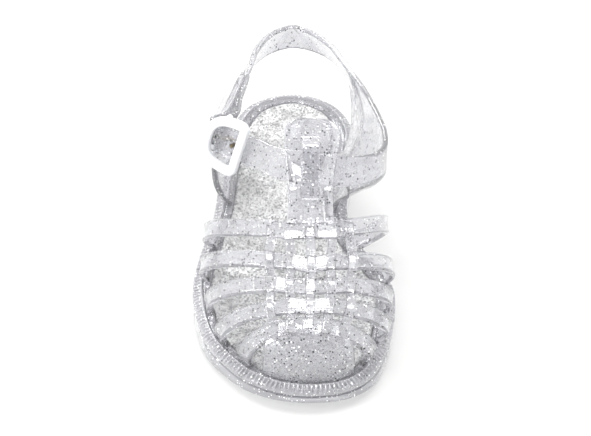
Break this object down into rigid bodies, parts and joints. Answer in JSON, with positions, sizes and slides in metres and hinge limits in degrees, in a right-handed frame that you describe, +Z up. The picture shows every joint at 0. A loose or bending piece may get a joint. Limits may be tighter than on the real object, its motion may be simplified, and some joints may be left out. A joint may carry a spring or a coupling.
{
  "type": "jelly sandal",
  "caption": "Toddler's closed-toe fisherman sandal moulded in clear glitter plastic, with a woven strap cage, T-bar and buckled ankle strap.",
  "frame": {"origin": "on the ground, in the middle of the footprint's box", "axes": "+Z up, the toe to -Y and the heel to +Y, the arch side to +X"},
  "size_m": [0.0628, 0.145, 0.0554],
  "materials": {
    "clear_pvc": "clear, with silver glitter",
    "glitter_footbed": "dense silver glitter",
    "milky_plastic": "satin",
    "brass": "satin"
  },
  "bodies": {
    "root": {"sole": "clear_pvc", "upper": "clear_pvc", "insole": "glitter_footbed", "buckle_frame": "milky_plastic", "buckle_prong": "brass"}
  },
  "joints": []
}
